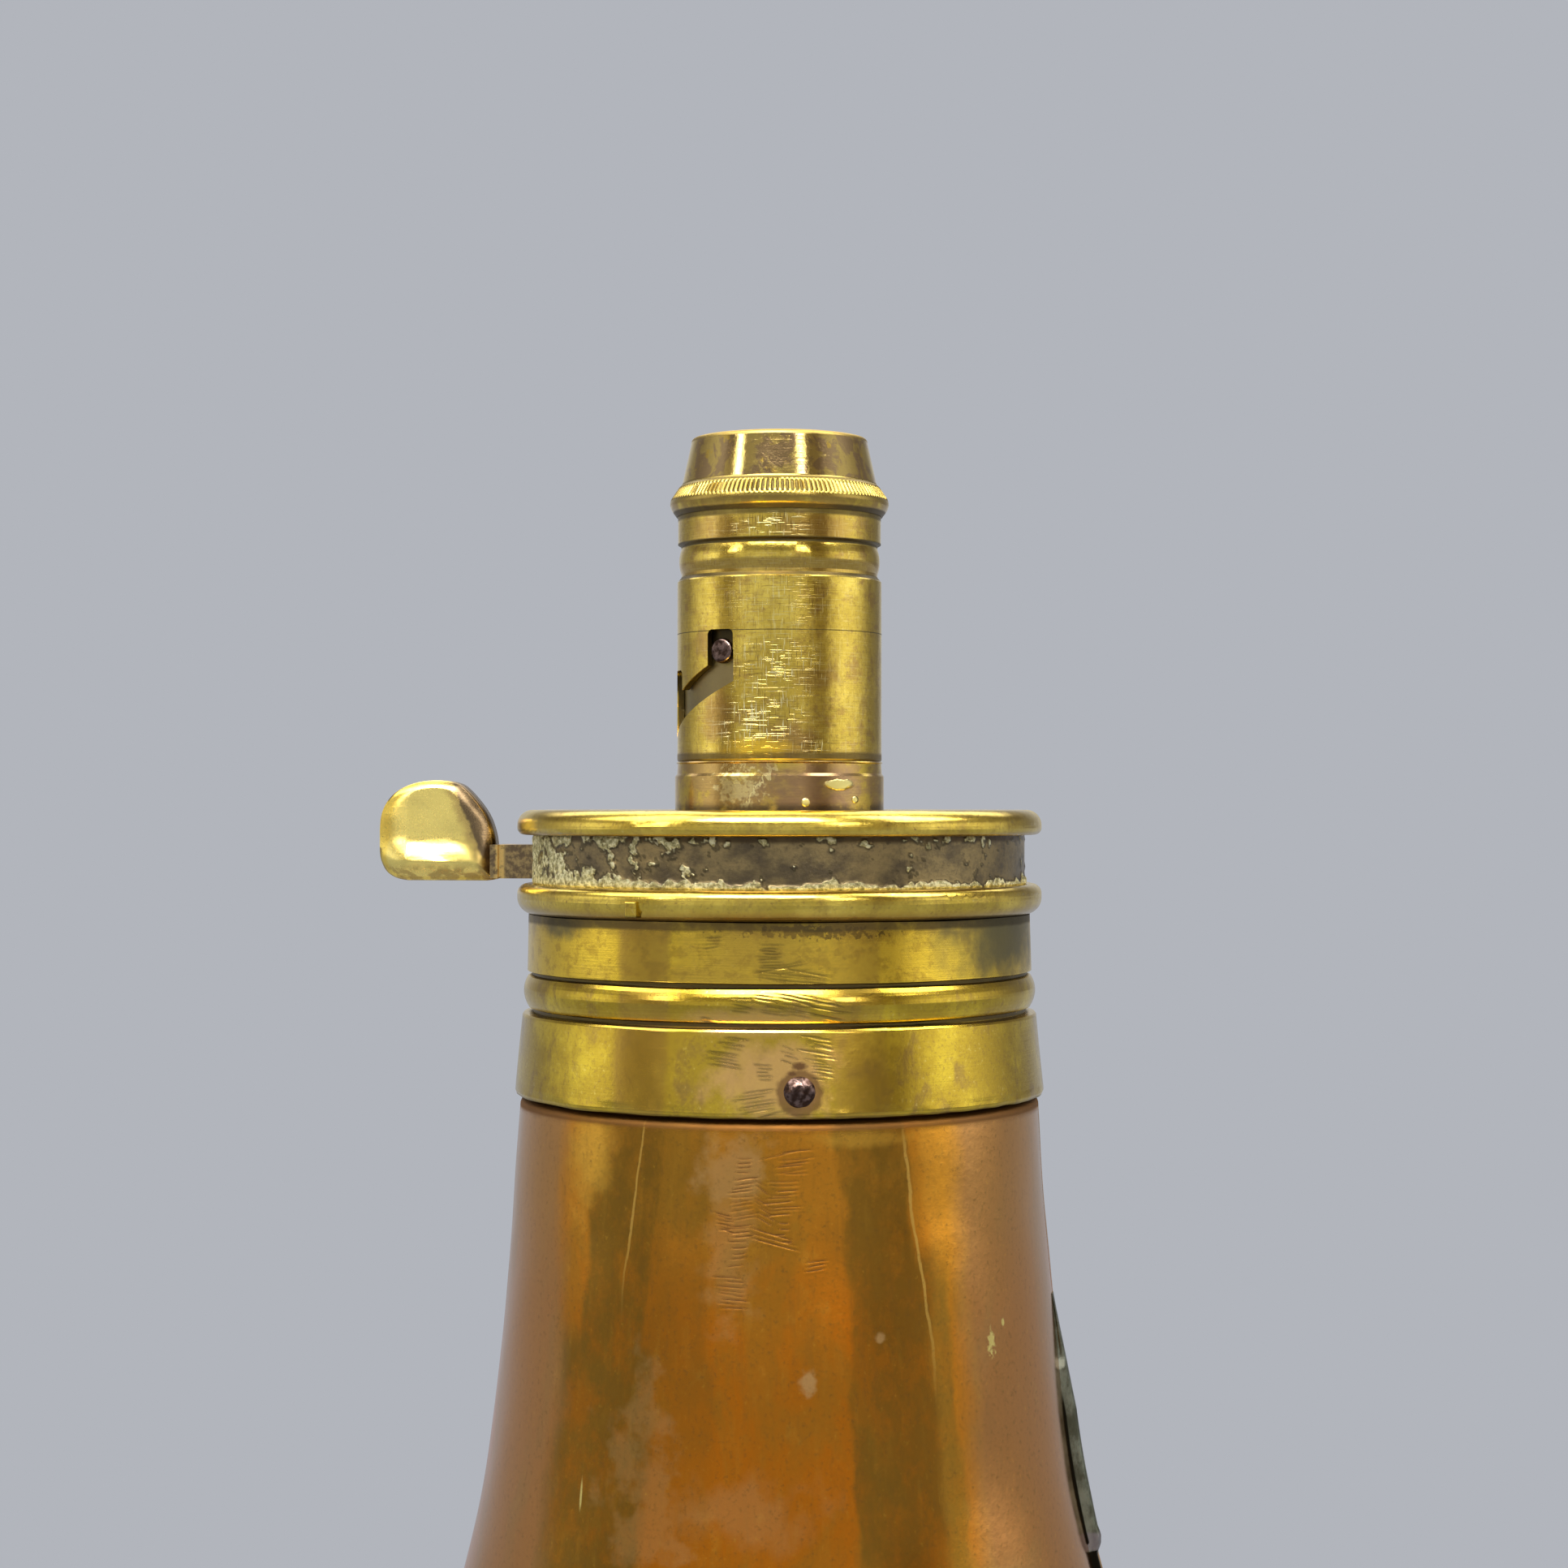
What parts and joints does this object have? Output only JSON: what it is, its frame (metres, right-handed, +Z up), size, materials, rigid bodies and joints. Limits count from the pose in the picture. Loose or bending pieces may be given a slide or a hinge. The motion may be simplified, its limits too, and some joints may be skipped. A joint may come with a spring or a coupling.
{
  "type": "powder flask",
  "caption": "Pear-shaped copper powder flask with a brass collar, a sprung cut-off lever and a slotted adjustable charger spout.",
  "frame": {"origin": "on the axis of the spout, at the lowest point of the body's seam", "axes": "+Z up along the spout's axis; the lever's thumb piece points to -X; the body's seam lies in the XZ plane, so -Y is the front and +Y the back"},
  "size_m": [0.0892, 0.0476, 0.2],
  "materials": {
    "copper": "aged copper, worn satin with brown patina",
    "solder": "dull grey-green soft solder",
    "brass": "aged brass, polished by handling",
    "tarnished_brass": "dark tarnished brass with pale crust",
    "steel": "dark browned steel, worn"
  },
  "bodies": {
    "flask": {"body_front_shell": "copper", "body_rear_shell": "copper", "seam_solder": "solder", "collar": "brass", "collar_screws": "steel", "collar_lock_pin": "steel", "base_disc": "brass", "chamber_band": "tarnished_brass", "top_plate": "brass", "top_screws": "steel", "pivot_screw": "steel", "spring_post": "steel", "return_spring": "steel"},
    "lever": {"lever_arm": "tarnished_brass", "thumb_piece": "brass", "shutter": "steel", "shutter_rivets": "steel"},
    "charger_base": {"charger_tube": "brass", "guide_screw": "steel"},
    "charger_spout": {"charger_sleeve": "brass", "nozzle": "brass"}
  },
  "joints": [
    {"name": "lever_swing", "type": "hinge", "parent": "flask", "child": "lever", "pos_m": [-0.0146, 0, 0.169], "axis": [0, 0, -1], "range_deg": [0, 40], "stiffness_Nm_per_rad": 0.03, "springref_deg": -20.05, "deforming": ["return_spring"]},
    {"name": "charger_unscrew", "type": "hinge", "parent": "flask", "child": "charger_base", "pos_m": [0, 0, 0.1726], "axis": [0, 0, 1], "range_deg": [0, 360]},
    {"name": "charger_lift", "type": "slide", "parent": "charger_base", "child": "charger_spout", "axis": [0, 0, 1], "range_m": [0, 0.0016]}
  ]
}
